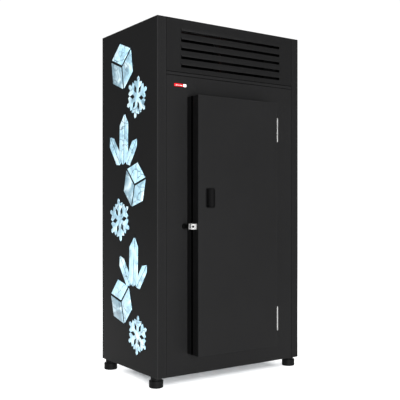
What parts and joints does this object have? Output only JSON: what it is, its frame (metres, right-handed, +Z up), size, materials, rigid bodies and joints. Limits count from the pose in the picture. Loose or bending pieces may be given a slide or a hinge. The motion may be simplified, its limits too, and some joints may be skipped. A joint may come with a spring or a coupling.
{
  "type": "ice merchandiser freezer",
  "caption": "Upright steel ice freezer: foamed swing door on a raised casing, recessed pull, padlock lugs, louvred upper panel with a refrigeration unit behind it, levelling feet.",
  "frame": {"origin": "centre of the object's footprint, on the floor under the feet", "axes": "+X to the right seen from the front, +Y to the back, +Z up; the door faces -Y"},
  "size_m": [1.032, 0.7814, 2.008],
  "materials": {
    "charcoal_paint": "satin powder coat",
    "galvanised": "galvanised sheet",
    "stainless": "brushed",
    "zinc_fastener": "zinc plated",
    "liner_white": "white coated sheet",
    "black_plastic": "fine matt",
    "black_rubber": "matt",
    "foam": "rigid foam",
    "copper": "drawn tube",
    "coil_fins": "bare fins",
    "compressor_black": "gloss enamel"
  },
  "bodies": {
    "cabinet": {"left_side_panel": "charcoal_paint", "right_side_panel": "charcoal_paint", "back_panel": "galvanised", "rear_vent_panel": "galvanised", "top_panel": "charcoal_paint", "base_pan": "galvanised", "foot_nuts": "galvanised", "front_frame": "charcoal_paint", "header_rail": "charcoal_paint", "louver_panel": "charcoal_paint", "machine_deck": "galvanised", "foam_core": "foam", "inner_liner": "liner_white", "throat_breaker": "black_plastic", "door_casing": "black_plastic", "panel_screws": "zinc_fastener", "upper_hinge_bracket": "stainless", "lower_hinge_bracket": "stainless", "hinge_pins": "stainless", "casing_lug": "stainless", "frame_stop": "black_rubber", "condensing_base": "galvanised", "compressor": "compressor_black", "compressor_mounts": "black_rubber", "terminal_cover": "black_plastic", "condenser_coil": "coil_fins", "condenser_shroud": "charcoal_paint", "condenser_fan_motor": "galvanised", "motor_bracket": "galvanised", "filter_drier": "copper", "discharge_line": "copper", "liquid_line": "copper", "suction_line": "copper", "control_box": "charcoal_paint", "cable_gland": "black_plastic", "evaporator_housing": "liner_white", "evaporator_coil": "coil_fins", "evaporator_fan_motors": "black_plastic", "fan_guards": "stainless", "drain_tube": "black_plastic"},
    "door": {"door_outer_pan": "charcoal_paint", "door_edge_frame": "black_plastic", "door_foam": "foam", "door_inner_panel": "liner_white", "door_gasket": "black_rubber", "pull_cup": "black_plastic", "door_lug": "stainless", "upper_door_leaf": "stainless", "lower_door_leaf": "stainless", "door_leaf_screws": "zinc_fastener"},
    "foot_front_left": {"foot_front_left": "black_plastic"},
    "foot_front_right": {"foot_front_right": "black_plastic"},
    "foot_rear_left": {"foot_rear_left": "black_plastic"},
    "foot_rear_right": {"foot_rear_right": "black_plastic"},
    "condenser_fan": {"condenser_fan": "coil_fins"},
    "evaporator_fan_left": {"evaporator_fan_left": "black_plastic"},
    "evaporator_fan_right": {"evaporator_fan_right": "black_plastic"},
    "thermostat_knob": {"thermostat_knob": "black_plastic"}
  },
  "joints": [
    {"name": "door_swing", "type": "hinge", "parent": "cabinet", "child": "door", "pos_m": [0.247, -0.38325, 0.879], "axis": [0, 0, 1], "range_deg": [0, 120]},
    {"name": "condenser_fan_spin", "type": "hinge", "parent": "cabinet", "child": "condenser_fan", "pos_m": [-0.205, -0.05625, 1.8355], "axis": [0, 1, 0], "continuous": true},
    {"name": "evaporator_fan_left_spin", "type": "hinge", "parent": "cabinet", "child": "evaporator_fan_left", "pos_m": [-0.1056, 0.06475, 1.549], "axis": [0, 1, 0], "continuous": true},
    {"name": "evaporator_fan_right_spin", "type": "hinge", "parent": "cabinet", "child": "evaporator_fan_right", "pos_m": [0.1056, 0.06475, 1.549], "axis": [0, 1, 0], "continuous": true},
    {"name": "thermostat_turn", "type": "hinge", "parent": "cabinet", "child": "thermostat_knob", "pos_m": [0.34, -0.22725, 1.826], "axis": [0, 1, 0], "range_deg": [0, 270]},
    {"name": "foot_front_left_screw", "type": "slide", "parent": "cabinet", "child": "foot_front_left", "axis": [0, 0, -1], "range_m": [0, 0.025]},
    {"name": "foot_front_right_screw", "type": "slide", "parent": "cabinet", "child": "foot_front_right", "axis": [0, 0, -1], "range_m": [0, 0.025]},
    {"name": "foot_rear_left_screw", "type": "slide", "parent": "cabinet", "child": "foot_rear_left", "axis": [0, 0, -1], "range_m": [0, 0.025]},
    {"name": "foot_rear_right_screw", "type": "slide", "parent": "cabinet", "child": "foot_rear_right", "axis": [0, 0, -1], "range_m": [0, 0.025]}
  ]
}
